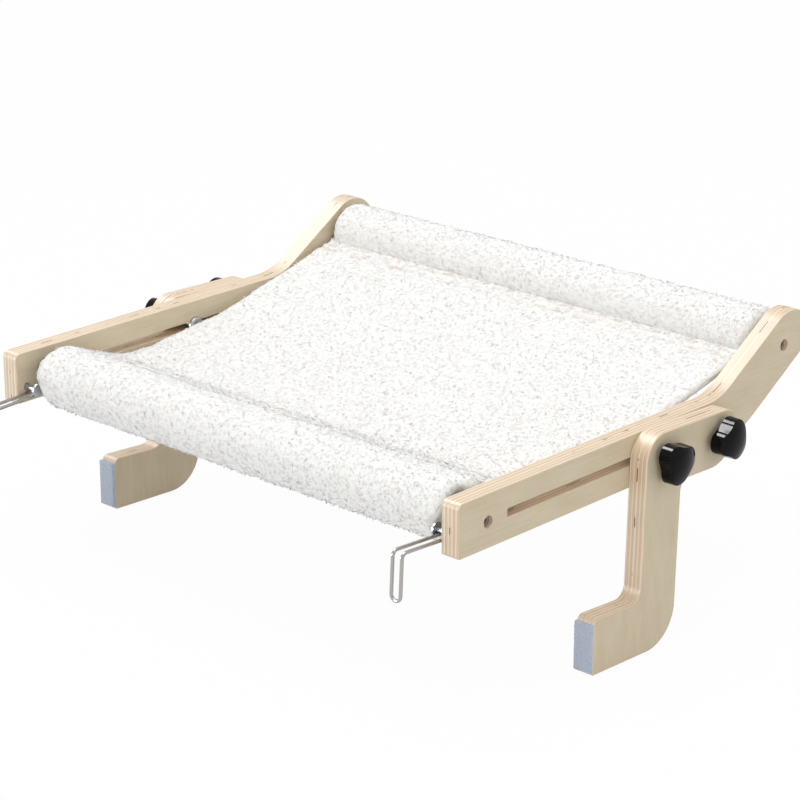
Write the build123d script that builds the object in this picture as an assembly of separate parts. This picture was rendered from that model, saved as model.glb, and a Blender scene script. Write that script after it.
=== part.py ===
from build123d import *
import math
import os

# Window sill cat perch, in millimetres.
# X runs along the crossbars, +Y from the window side to the room side, +Z up.
# The origin is midway between the arms, at their front ends, on the plane of their undersides.
# Every side piece is modelled on the +X side and mirrored for the other one.

os.makedirs("parts", exist_ok=True)

# Shared sizes
inner_span = 420.0          # between the inner faces of the two arms
ply = 15.0                  # plywood of arms and legs
edge_break = 0.5            # softened plywood edges
overrun = 3.0               # how far a cutting shape runs past what it cuts
press_gap = 0.05            # radial gap of screwed and pressed round pieces
soft_gap = 0.3              # radial gap between cloth and what it goes round

# Side arm: a flat front stretch that lies on the sill and a raised rear stretch
arm_height = 38.5
arm_rear_height = 40.4      # the raised stretch is a little wider
arm_kink_place = 276.5      # top corner of the bend, from the front end
arm_rise_angle = 32.0
arm_rear_length = 105.0     # along the top edge, from the bend to the rear end
arm_bend_top_round = 51.0
arm_bend_bottom_round = 110.0
arm_front_top_round = 4.5
arm_front_bottom_round = 2.0
arm_nose_top_share = 0.62   # rounds of the rear end, as shares of the raised stretch's height
arm_nose_bottom_share = 0.25

# Slot for the leg's clamp bolts
slot_height = 6.4
slot_start = 47.3
slot_end = 265.3
slot_corner_round = 1.0

# Crossbars, their end plugs and screws
bar_diameter = 19.0
bar_wall = 1.2
bar_front_place = 28.6      # from the arm's front end
bar_rear_place = 73.7       # along the rear stretch, from the bend
bar_drop = 0.7              # of the crossbars, under the middle of the plywood
plug_length = 22.0
screw_diameter = 5.0
screw_head_diameter = 8.2
screw_head_height = 5.0
screw_grip = 16.0           # thread inside the plug
screw_hole_gap = 0.25
counterbore_diameter = 8.8
counterbore_depth = 8.0
hex_socket_width = 4.0
hex_socket_depth = 2.5
hex_sides = 6

# Legs
leg_width = 39.7            # of the bar and of the post
leg_drop = 139.4            # from the clamp bolts down to the sole
leg_post_offset = 1.5       # from the front bolt forward to the post's middle
leg_toe_reach = 70.4        # from the front bolt forward to the toe
leg_bar_reach = 79.0        # from the front bolt back to the bar's end
leg_foot_height = 40.2
leg_foot_slope = 1.4        # degrees that the foot's top rises towards the toe
leg_front_end_round = 19.0
leg_rear_end_top_round = 12.5
leg_rear_end_bottom_round = 26.0
leg_heel_round = 29.0
leg_instep_round = 9.5
leg_armpit_round = 8.0
leg_toe_top_round = 5.0
leg_sole_round = 1.5
leg_lean = 1.75             # degrees that the post leans towards the wall, while the toe stands upright
bolt_spacing = 60.0
right_leg_place = 195.8     # front bolt, from the arm's front end
left_leg_place = 179.6

# Felt pads on the toes
felt_thickness = 2.8
felt_height = 36.0
felt_sole_gap = 2.0         # between the sole and the pad's lower edge
felt_side_margin = 0.1
felt_corner_round = 1.5

# Clamp bolts, washers and knobs
bolt_diameter = 6.0
bolt_hole_gap = 0.2
bolt_head_diameter = 13.0
bolt_head_height = 3.0
bolt_dome_share = 0.66      # round of the head's rim, as a share of its height
bolt_neck_length = 4.0
bolt_end_gap = 1.0          # between the bolt's end and the bottom of the knob's bore
washer_diameter = 14.0
washer_thickness = 1.2
insert_diameter = 9.0
insert_length = 9.0
knob_radius = 16.0          # over the lobes
knob_lobe_round = 8.8
knob_waist_round = 32.0
knob_height = 12.5          # of the domed grip at its middle
knob_dome_round = 34.0      # of the dome over its lobes
knob_taper = 2.0            # degrees
knob_edge_round = 0.9
knob_hub_diameter = 15.0
knob_hub_height = 3.0
knob_lobes = 3
front_knob_turn = 16.0      # degrees, direction of one lobe in the YZ plane
rear_knob_turn = 64.0

# Wire hooks and the pins above them
wire_diameter = 2.5
wire_pitch = 8.0            # between the two strands of the hairpin
wire_side_gap = 0.4         # between the outer strand and the arm
hook_eye_gap = 0.1          # between the eyes and the crossbar
hook_eye_turn = 230.0       # degrees that an eye wraps round the crossbar
hook_rise_limit = 3.0       # degrees over level at which a hook's strands meet the pin
right_hook_rise = 3.0       # degrees over level at which the hooks are drawn
left_hook_rise = -2.0
hook_reach = 34.5           # of the drop, forward of the arm's front end
hook_drop = 33.2            # from the level strands down to the bottom of the loop
hook_bend_round = 4.0
pin_place = 9.3             # from the arm's front end
pin_diameter = 3.5
pin_wire_gap = 0.1
pin_head_gap = 0.5
pin_head_diameter = 10.0
pin_head_thickness = 2.0
pin_thread_diameter = 3.0
pin_thread_length = 9.0
pin_sleeve_diameter = 6.0

# Fleece sling
front_pocket_radius = 21.0
rear_pocket_radius = 21.5
front_pocket_pin_gap = 0.9  # between the front pocket's ends and the pin heads
rear_pocket_side_gap = 7.0  # between the rear pocket's ends and the arms
seat_side_gap = 6.0
seat_thickness = 7.0
seat_sag = 13.5
pocket_end_round = 6.0
stitch_groove_radius = 1.8
stitch_rows = slice(-3, -1) # points of the curve below that carry a row of stitches
# Height of the seat's top over the line through both crossbars, as shares of the sag,
# against the place along that line, as shares of the way from front to rear crossbar
seat_curve_shares = (
    (0.045, 1.20),
    (0.085, 0.65),
    (0.125, 0.18),
    (0.170, -0.42),
    (0.215, -0.84),
    (0.280, -1.07),
    (0.360, -1.15),
    (0.450, -1.18),
    (0.550, -1.13),
    (0.665, -0.80),
    (0.800, -0.38),
    (0.898, -0.17),
    (0.921, -0.125),
    (0.965, -0.05),
)

# Places worked out from the sizes above
inner_face = inner_span / 2
outer_face = inner_face + ply
leg_face = outer_face + ply
bar_radius = bar_diameter / 2
rise = math.radians(arm_rise_angle)
arm_middle = arm_height / 2
front_bar = (bar_front_place, arm_middle - bar_drop)
rear_bar_depth = arm_rear_height / 2 + bar_drop
rear_bar = (
    arm_kink_place + bar_rear_place * math.cos(rise) + rear_bar_depth * math.sin(rise),
    arm_height + bar_rear_place * math.sin(rise) - rear_bar_depth * math.cos(rise),
)
slot_middle = arm_middle
bore_radius = bar_radius - bar_wall
washer_face = leg_face + washer_thickness
insert_end = washer_face + insert_length
bolt_end = insert_end - bolt_end_gap
eye_radius = bar_radius + hook_eye_gap + wire_diameter / 2
strand_height = front_bar[1] - eye_radius
outer_strand = inner_face - wire_side_gap - wire_diameter / 2
inner_strand = outer_strand - wire_pitch
rise_limit = math.radians(hook_rise_limit)
pin_clearance = wire_diameter / 2 + pin_wire_gap + pin_diameter / 2
pin_height = (
    front_bar[1]
    + (front_bar[0] - pin_place) * math.tan(rise_limit)
    + (pin_clearance - eye_radius) / math.cos(rise_limit)
)
pin_head_face = inner_strand - wire_diameter / 2 - pin_head_gap
front_pocket_half_width = pin_head_face - pin_head_thickness - front_pocket_pin_gap
rear_pocket_half_width = inner_face - rear_pocket_side_gap
seat_half_width = inner_face - seat_side_gap
lean = math.radians(leg_lean)
toe_face = -leg_toe_reach * math.cos(lean) - leg_drop * math.sin(lean)
toe_sole = slot_middle + leg_toe_reach * math.sin(lean) - leg_drop * math.cos(lean)


def plate(corners, rounds, inner_x):
    """Flat plywood piece with rounded corners and softened edges, from its side outline."""
    outline = FilletPolyline(*corners, radius=rounds, close=True)
    solid = extrude(Plane.YZ.offset(inner_x) * make_face(outline.edges()), ply)
    sides = solid.faces().filter_by(Axis.X)
    return chamfer([edge for face in sides for edge in face.outer_wire().edges()], edge_break)


def rod(radius, start_x, end_x, place):
    """Round bar along X through a place in the side view."""
    face = Plane.YZ.offset(start_x) * Pos(*place) * Circle(radius)
    return extrude(face, end_x - start_x)


def arm():
    """Plywood arm with its slot and the two counterbored holes for the crossbar screws."""
    along = (math.cos(rise), math.sin(rise))
    down = (math.sin(rise), -math.cos(rise))
    rear_top = (
        arm_kink_place + arm_rear_length * along[0],
        arm_height + arm_rear_length * along[1],
    )
    rear_bottom = (
        rear_top[0] + arm_rear_height * down[0],
        rear_top[1] + arm_rear_height * down[1],
    )
    kink_bottom = rear_bottom[0] - rear_bottom[1] / math.tan(rise)
    corners = (
        (0, 0),
        (kink_bottom, 0),
        rear_bottom,
        rear_top,
        (arm_kink_place, arm_height),
        (0, arm_height),
    )
    rounds = (
        arm_front_bottom_round,
        arm_bend_bottom_round,
        arm_rear_height * arm_nose_bottom_share,
        arm_rear_height * arm_nose_top_share,
        arm_bend_top_round,
        arm_front_top_round,
    )
    body = plate(corners, rounds, inner_face)
    slot_length = slot_end - slot_start
    slot_outline = RectangleRounded(slot_length, slot_height, slot_corner_round)
    slot_centre = Pos((slot_start + slot_end) / 2, slot_middle)
    body -= extrude(Plane.YZ.offset(inner_face - overrun) * slot_centre * slot_outline, ply + 2 * overrun)
    for bar in (front_bar, rear_bar):
        hole_radius = screw_diameter / 2 + screw_hole_gap
        body -= rod(hole_radius, inner_face - overrun, outer_face + overrun, bar)
        body -= rod(counterbore_diameter / 2, outer_face - counterbore_depth, outer_face + overrun, bar)
    sleeve_radius = pin_sleeve_diameter / 2 + press_gap
    body -= rod(sleeve_radius, inner_face - overrun, inner_face + pin_thread_length, (pin_place, pin_height))
    return body


def crossbar(bar):
    """Steel tube between the inner faces of the arms."""
    tube = rod(bar_radius, -inner_face, inner_face, bar)
    return tube - rod(bore_radius, -inner_face - overrun, inner_face + overrun, bar)


def bar_plug(bar):
    """Threaded plug pressed into the end of a crossbar."""
    plug = rod(bore_radius - press_gap, inner_face - plug_length, inner_face, bar)
    hole_radius = screw_diameter / 2 + press_gap
    return plug - rod(hole_radius, inner_face - plug_length - overrun, inner_face + overrun, bar)


def bar_screw(bar):
    """Socket head screw, sunk in the arm's counterbore and screwed into the plug."""
    seat = outer_face - counterbore_depth
    screw = rod(screw_diameter / 2, inner_face - screw_grip, seat, bar)
    screw += rod(screw_head_diameter / 2, seat, seat + screw_head_height, bar)
    socket_bottom = seat + screw_head_height - hex_socket_depth
    socket_outline = RegularPolygon(hex_socket_width / 2, hex_sides, major_radius=False)
    socket = extrude(Plane.YZ.offset(socket_bottom) * Pos(*bar) * socket_outline, hex_socket_depth + overrun)
    return screw - socket


def hook_pin():
    """Headed pin that keeps the hook's strands from rising past level."""
    place = (pin_place, pin_height)
    pin = rod(pin_diameter / 2, pin_head_face, inner_face, place)
    pin += rod(pin_thread_diameter / 2, inner_face, inner_face + pin_thread_length, place)
    head = rod(pin_head_diameter / 2, pin_head_face - pin_head_thickness, pin_head_face, place)
    rim = head.edges().filter_by(GeomType.CIRCLE).sort_by(Axis.X)[0]
    return pin + fillet(rim, pin_head_thickness / 2)


def pin_sleeve():
    """Threaded sleeve in the arm that takes the hook pin."""
    place = (pin_place, pin_height)
    sleeve = rod(pin_sleeve_diameter / 2, inner_face, inner_face + pin_thread_length, place)
    bore = pin_thread_diameter / 2 + press_gap
    return sleeve - rod(bore, inner_face - overrun, inner_face + pin_thread_length + overrun, place)


def eye_point(x, turn):
    """Point on an eye's centre line; the turn is counted from the lowest point towards the rear."""
    angle = math.radians(turn)
    y = front_bar[0] + eye_radius * math.sin(angle)
    z = front_bar[1] - eye_radius * math.cos(angle)
    return (x, y, z)


def bend_point(x, turn):
    """Point on the bend between a level strand and the drop; the turn is counted from the strand."""
    angle = math.radians(turn)
    y = hook_bend_round - hook_reach - hook_bend_round * math.sin(angle)
    z = strand_height - hook_bend_round + hook_bend_round * math.cos(angle)
    return (x, y, z)


def strand(x):
    """One strand of the hairpin, from the end of its eye down to the closed end."""
    square = 90
    foot_height = strand_height - hook_drop + wire_pitch / 2
    eye_end = eye_point(x, 0)
    bends = [bend_point(x, turn) for turn in (0, square / 2, square)]
    return [
        Edge.make_three_point_arc(eye_point(x, hook_eye_turn), eye_point(x, hook_eye_turn / 2), eye_end),
        Edge.make_line(eye_end, bends[0]),
        Edge.make_three_point_arc(*bends),
        Edge.make_line(bends[-1], (x, -hook_reach, foot_height)),
    ]


def hook(hook_rise):
    """Hairpin wire hook: two eyes round the front crossbar, level strands, a drop and a closed end."""
    loop_radius = wire_pitch / 2
    outer = strand(outer_strand)
    inner = strand(inner_strand)
    outer_foot = outer[-1] @ 1
    inner_foot = inner[-1] @ 1
    loop_bottom = (outer_foot + inner_foot) / 2 - Vector(0, 0, loop_radius)
    path = Wire([*outer, Edge.make_three_point_arc(outer_foot, loop_bottom, inner_foot), *inner])
    section = Plane(origin=path @ 0, z_dir=path % 0) * Circle(wire_diameter / 2)
    level = sweep(section, path)
    return Pos(0, *front_bar) * Rot(-hook_rise, 0, 0) * Pos(0, -front_bar[0], -front_bar[1]) * level


def in_leg(solid):
    """Turns a leg piece, drawn upright about its front bolt, to the leg's lean and lifts it to the slot."""
    return Pos(0, 0, slot_middle) * Rot(-leg_lean, 0, 0) * solid


def leg():
    """Plywood leg: a bar over the slot, a post and a foot towards the wall."""
    half = leg_width / 2
    post_front = -leg_post_offset - half
    post_rear = half - leg_post_offset
    foot_top = leg_foot_height - leg_drop
    toe_top = foot_top + (leg_toe_reach + post_front) * math.tan(math.radians(leg_foot_slope))
    toe_lead = leg_foot_height * math.tan(lean)
    corners = (
        (post_front, half),
        (leg_bar_reach, half),
        (leg_bar_reach, -half),
        (post_rear, -half),
        (post_rear, -leg_drop),
        (-leg_toe_reach, -leg_drop),
        (-leg_toe_reach - toe_lead, toe_top),
        (post_front, foot_top),
    )
    rounds = (
        leg_front_end_round,
        leg_rear_end_top_round,
        leg_rear_end_bottom_round,
        leg_armpit_round,
        leg_heel_round,
        leg_sole_round,
        leg_toe_top_round,
        leg_instep_round,
    )
    body = in_leg(plate(corners, rounds, outer_face))
    for bolt_place in (0, bolt_spacing):
        hole_radius = bolt_diameter / 2 + bolt_hole_gap
        body -= rod(hole_radius, outer_face - overrun, leg_face + overrun, (bolt_place, slot_middle))
    return body


def felt_pad():
    """Felt strip on the upright face of the toe."""
    width = ply - 2 * felt_side_margin
    outline = RectangleRounded(width, felt_height, felt_corner_round)
    centre = (outer_face + ply / 2, toe_face, toe_sole + felt_sole_gap + felt_height / 2)
    face = Plane(origin=centre, x_dir=(1, 0, 0), z_dir=(0, -1, 0))
    return extrude(face * outline, felt_thickness)


def clamp_bolt(bolt_place):
    """Carriage bolt: domed head on the arm's inner face, square neck in the slot, shank to the knob."""
    place = (bolt_place, slot_middle)
    head = rod(bolt_head_diameter / 2, inner_face - bolt_head_height, inner_face, place)
    rim = head.edges().filter_by(GeomType.CIRCLE).sort_by(Axis.X)[0]
    head = fillet(rim, bolt_head_height * bolt_dome_share)
    square = Rectangle(bolt_diameter, bolt_diameter)
    neck = extrude(Plane.YZ.offset(inner_face) * Pos(*place) * square, bolt_neck_length)
    return head + neck + rod(bolt_diameter / 2, inner_face + bolt_neck_length, bolt_end, place)


def washer(bolt_place):
    """Flat washer between the leg and the knob."""
    place = (bolt_place, slot_middle)
    disc = rod(washer_diameter / 2, leg_face, washer_face, place)
    hole_radius = bolt_diameter / 2 + bolt_hole_gap
    return disc - rod(hole_radius, leg_face - overrun, washer_face + overrun, place)


def knob_insert(bolt_place):
    """Threaded sleeve moulded into the knob."""
    place = (bolt_place, slot_middle)
    sleeve = rod(insert_diameter / 2, washer_face, insert_end, place)
    bore = bolt_diameter / 2 + press_gap
    return sleeve - rod(bore, washer_face - overrun, insert_end + overrun, place)


def lobe_outline():
    """Knob outline about its axis: round lobes joined by hollow flanks."""
    lobe_centre = knob_radius - knob_lobe_round
    step = 360 / knob_lobes
    half_step = math.radians(step / 2)
    joined = knob_lobe_round + knob_waist_round
    reach = lobe_centre * math.cos(half_step)
    waist_centre = reach + math.sqrt(joined**2 - (lobe_centre * math.sin(half_step)) ** 2)
    waist = waist_centre - knob_waist_round
    swing = math.degrees(math.asin(waist_centre * math.sin(half_step) / joined))
    edges = []
    for count in range(knob_lobes):
        turn = count * step
        centre = Vector(lobe_centre, 0).rotate(Axis.Z, turn)
        tip = Vector(knob_radius, 0).rotate(Axis.Z, turn)
        start = centre + Vector(knob_lobe_round, 0).rotate(Axis.Z, turn - swing)
        end = centre + Vector(knob_lobe_round, 0).rotate(Axis.Z, turn + swing)
        edges.append(Edge.make_three_point_arc(start, tip, end))
        following = Vector(lobe_centre, 0).rotate(Axis.Z, turn + step)
        following += Vector(knob_lobe_round, 0).rotate(Axis.Z, turn + step - swing)
        hollow = Vector(waist, 0).rotate(Axis.Z, turn + step / 2)
        edges.append(Edge.make_three_point_arc(end, hollow, following))
    return Wire(edges)


def knob(bolt_place, turn):
    """Tri-lobe knob with a domed face and a round hub that bears on the washer."""
    place = (bolt_place, slot_middle)
    lobes_face = washer_face + knob_hub_height
    outline = Plane.YZ.offset(lobes_face) * Pos(*place) * Rot(0, 0, turn) * make_face(lobe_outline().edges())
    grip = extrude(outline, knob_height, taper=knob_taper)
    dome_centre = lobes_face + knob_height - knob_dome_round
    grip &= Pos(dome_centre, *place) * Sphere(knob_dome_round)
    dome = grip.faces().filter_by(GeomType.SPHERE)[0]
    grip = fillet(dome.edges(), knob_edge_round)
    body = grip + rod(knob_hub_diameter / 2, washer_face, lobes_face, place)
    return body - rod(insert_diameter / 2 + press_gap, washer_face - overrun, insert_end, place)


def seat_point(place_share, height_share, depth):
    """Point of the seat's side outline, a depth under its top."""
    y = front_bar[0] + (rear_bar[0] - front_bar[0]) * place_share
    z = front_bar[1] + (rear_bar[1] - front_bar[1]) * place_share + seat_sag * height_share
    return (y, z - depth)


def pocket(radius, half_width, bar):
    """Padded pocket round a crossbar, with rounded ends."""
    roll = rod(radius, -half_width, half_width, bar)
    return fillet(roll.edges().filter_by(GeomType.CIRCLE), pocket_end_round)


def sling():
    """Fleece sling: a pocket round each crossbar and the hanging seat between them."""
    front_top = (front_bar[0], front_bar[1] + front_pocket_radius)
    top = [seat_point(place, height, 0) for place, height in seat_curve_shares]
    bottom = [seat_point(place, height, seat_thickness) for place, height in seat_curve_shares]
    top_line = Edge.make_spline([front_top, *top])
    bottom_line = Edge.make_spline([(front_top[0], front_top[1] - seat_thickness), *bottom])
    front_line = Edge.make_line(bottom_line @ 0, top_line @ 0)
    rear_line = Edge.make_line(bottom_line @ 1, top_line @ 1)
    outline = make_face([top_line, rear_line, bottom_line, front_line])
    cloth = extrude(Plane.YZ.offset(-seat_half_width) * outline, 2 * seat_half_width)
    trim_width = seat_half_width - front_pocket_half_width
    for side in (-1, 1):
        middle = side * (front_pocket_half_width + trim_width)
        trim_length = 2 * front_pocket_radius
        cloth -= Pos(middle, *front_bar) * Box(2 * trim_width, trim_length, 2 * trim_length)
    for place, height in seat_curve_shares[stitch_rows]:
        row = seat_point(place, height, 0)
        cloth -= rod(stitch_groove_radius, -seat_half_width - overrun, seat_half_width + overrun, row)
    cloth += pocket(front_pocket_radius, front_pocket_half_width, front_bar)
    cloth += pocket(rear_pocket_radius, rear_pocket_half_width, rear_bar)
    for bar in (front_bar, rear_bar):
        cloth -= rod(bar_radius + soft_gap, -outer_face, outer_face, bar)
    return cloth


def write(name, solid):
    """Writes one named piece."""
    export_step(solid, f"parts/{name}.step")


def main():
    """Builds every piece and writes it under its name."""
    write("front_crossbar", crossbar(front_bar))
    write("rear_crossbar", crossbar(rear_bar))
    write("sling", sling())
    leg_places = {"right": right_leg_place, "left": left_leg_place}
    hook_rises = {"right": right_hook_rise, "left": left_hook_rise}
    knobs = {"front": (0, front_knob_turn), "rear": (bolt_spacing, rear_knob_turn)}
    for side, leg_place in leg_places.items():
        fixed = {
            "arm": arm(),
            "front_bar_plug": bar_plug(front_bar),
            "rear_bar_plug": bar_plug(rear_bar),
            "front_bar_screw": bar_screw(front_bar),
            "rear_bar_screw": bar_screw(rear_bar),
            "hook_pin": hook_pin(),
            "pin_sleeve": pin_sleeve(),
            "hook": hook(hook_rises[side]),
        }
        sliding = {"leg": leg(), "felt_pad": felt_pad()}
        for end, (bolt_place, turn) in knobs.items():
            sliding[f"{end}_clamp_bolt"] = clamp_bolt(bolt_place)
            sliding[f"{end}_washer"] = washer(bolt_place)
            sliding[f"{end}_knob_insert"] = knob_insert(bolt_place)
            sliding[f"{end}_knob"] = knob(bolt_place, turn)
        pieces = {**fixed, **{name: Pos(0, leg_place, 0) * solid for name, solid in sliding.items()}}
        for name, solid in pieces.items():
            write(f"{side}_{name}", solid if side == "right" else mirror(solid, Plane.YZ))


main()
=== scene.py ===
"""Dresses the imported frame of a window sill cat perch: birch plywood, fleece, felt, steel and plastic."""

import logging
import math
import random
from collections.abc import Iterable, Mapping
from dataclasses import dataclass, field
from enum import Enum

import bmesh
import bpy
from bpy.types import Camera, Light, Material, Mesh, Node, NodeSocket, NodeTree, Object
from mathutils import Matrix, Vector, noise


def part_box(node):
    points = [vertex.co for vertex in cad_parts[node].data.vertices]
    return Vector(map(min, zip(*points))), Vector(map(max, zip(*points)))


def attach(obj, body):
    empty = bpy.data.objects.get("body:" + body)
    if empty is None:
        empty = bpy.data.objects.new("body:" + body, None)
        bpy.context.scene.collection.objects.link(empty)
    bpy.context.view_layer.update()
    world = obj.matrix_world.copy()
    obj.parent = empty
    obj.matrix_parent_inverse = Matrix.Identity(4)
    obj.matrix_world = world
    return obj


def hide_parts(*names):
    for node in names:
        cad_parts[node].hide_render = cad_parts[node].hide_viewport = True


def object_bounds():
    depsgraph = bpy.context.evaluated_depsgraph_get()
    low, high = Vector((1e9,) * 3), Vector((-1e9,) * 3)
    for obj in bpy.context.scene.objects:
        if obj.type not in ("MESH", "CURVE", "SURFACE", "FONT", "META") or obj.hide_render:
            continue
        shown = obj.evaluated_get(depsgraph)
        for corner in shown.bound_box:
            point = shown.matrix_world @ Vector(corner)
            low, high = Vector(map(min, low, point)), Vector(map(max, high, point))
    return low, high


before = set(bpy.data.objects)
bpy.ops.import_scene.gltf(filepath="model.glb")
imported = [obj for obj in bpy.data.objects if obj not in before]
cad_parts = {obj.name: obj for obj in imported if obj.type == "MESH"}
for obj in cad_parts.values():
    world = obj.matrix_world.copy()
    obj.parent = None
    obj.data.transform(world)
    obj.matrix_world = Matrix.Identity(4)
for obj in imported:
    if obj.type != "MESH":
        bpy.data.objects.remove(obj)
CAD_LOW, CAD_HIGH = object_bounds()

MM = 0.001
SIDES = ("right", "left")
ENDS = ("front", "rear")
WHITE = (1.0, 1.0, 1.0, 1.0)
LOG = logging.getLogger("cat_perch")

# A mix node has several sockets of each name, so they are reached by number
SHARE, NUMBER_A, NUMBER_B, COLOUR_A, COLOUR_B = 0, 2, 3, 6, 7
MIXED = 2


def linear(code: str) -> tuple[float, float, float, float]:
    """Turns an sRGB hex colour into the linear colour that shaders take.

    Args:
        code: Six hex digits, with or without a leading hash.

    Returns:
        Linear red, green and blue, and an alpha of one.
    """
    digits = code.lstrip("#")
    parts = [int(digits[i:i + 2], 16) / 255 for i in (0, 2, 4)]
    curved = [p / 12.92 if p <= 0.04045 else ((p + 0.055) / 1.055) ** 2.4 for p in parts]
    return (*curved, 1.0)


def unit(value: float) -> float:
    """Keeps a value between nought and one."""
    return min(max(value, 0.0), 1.0)


def new_object(name: str, data: Mesh | Camera | Light) -> Object:
    """Makes an object that shows some data, and links it to the scene."""
    made = bpy.data.objects.new(name, data)
    bpy.context.scene.collection.objects.link(made)
    return made


def add_node(
    tree: NodeTree,
    kind: str,
    settings: Mapping[str | int, object] | None = None,
    links: Mapping[str | int, Node | NodeSocket] | None = None,
) -> Node:
    """Adds one node with its settings and links.

    Args:
        tree: The node tree that gets the node.
        kind: Blender's name for the kind of node, without the ShaderNode before it.
        settings: Properties or input values, by name or by input number.
        links: What feeds the inputs, by name or by input number: a socket, or a node's first output.

    Returns:
        The new node.
    """
    node = tree.nodes.new(f"ShaderNode{kind}")
    for name, value in (settings or {}).items():
        if isinstance(name, str) and hasattr(node, name):
            setattr(node, name, value)
        else:
            node.inputs[name].default_value = value
    for name, source in (links or {}).items():
        socket = source.outputs[0] if isinstance(source, Node) else source
        tree.links.new(socket, node.inputs[name])
    return node


def new_material(name: str) -> tuple[Material, NodeTree]:
    """Makes an empty node material.

    Args:
        name: The real material's name.

    Returns:
        The material and its node tree.
    """
    material = bpy.data.materials.new(name)
    material.use_nodes = True
    material.node_tree.nodes.clear()
    return material, material.node_tree


def finish_material(tree: NodeTree, shader: Node) -> None:
    """Joins a shader to the material's output.

    Args:
        tree: The material's node tree.
        shader: The node whose first output is the surface.
    """
    add_node(tree, "OutputMaterial", links={"Surface": shader})


def dress(nodes: Iterable[str], material: Material) -> None:
    """Gives CAD nodes a material in the slots that they have.

    Args:
        nodes: Names of CAD nodes.
        material: The finish that they get.
    """
    for name in nodes:
        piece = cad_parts[name]
        if not piece.material_slots:
            piece.data.materials.append(material)
        for slot in piece.material_slots:
            slot.material = material


class Grain(Enum):
    """Direction of the face veneer's grain, and of the plies between."""

    ALONG_ARM = (1, 2)
    DOWN_LEG = (2, 1)


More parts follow.
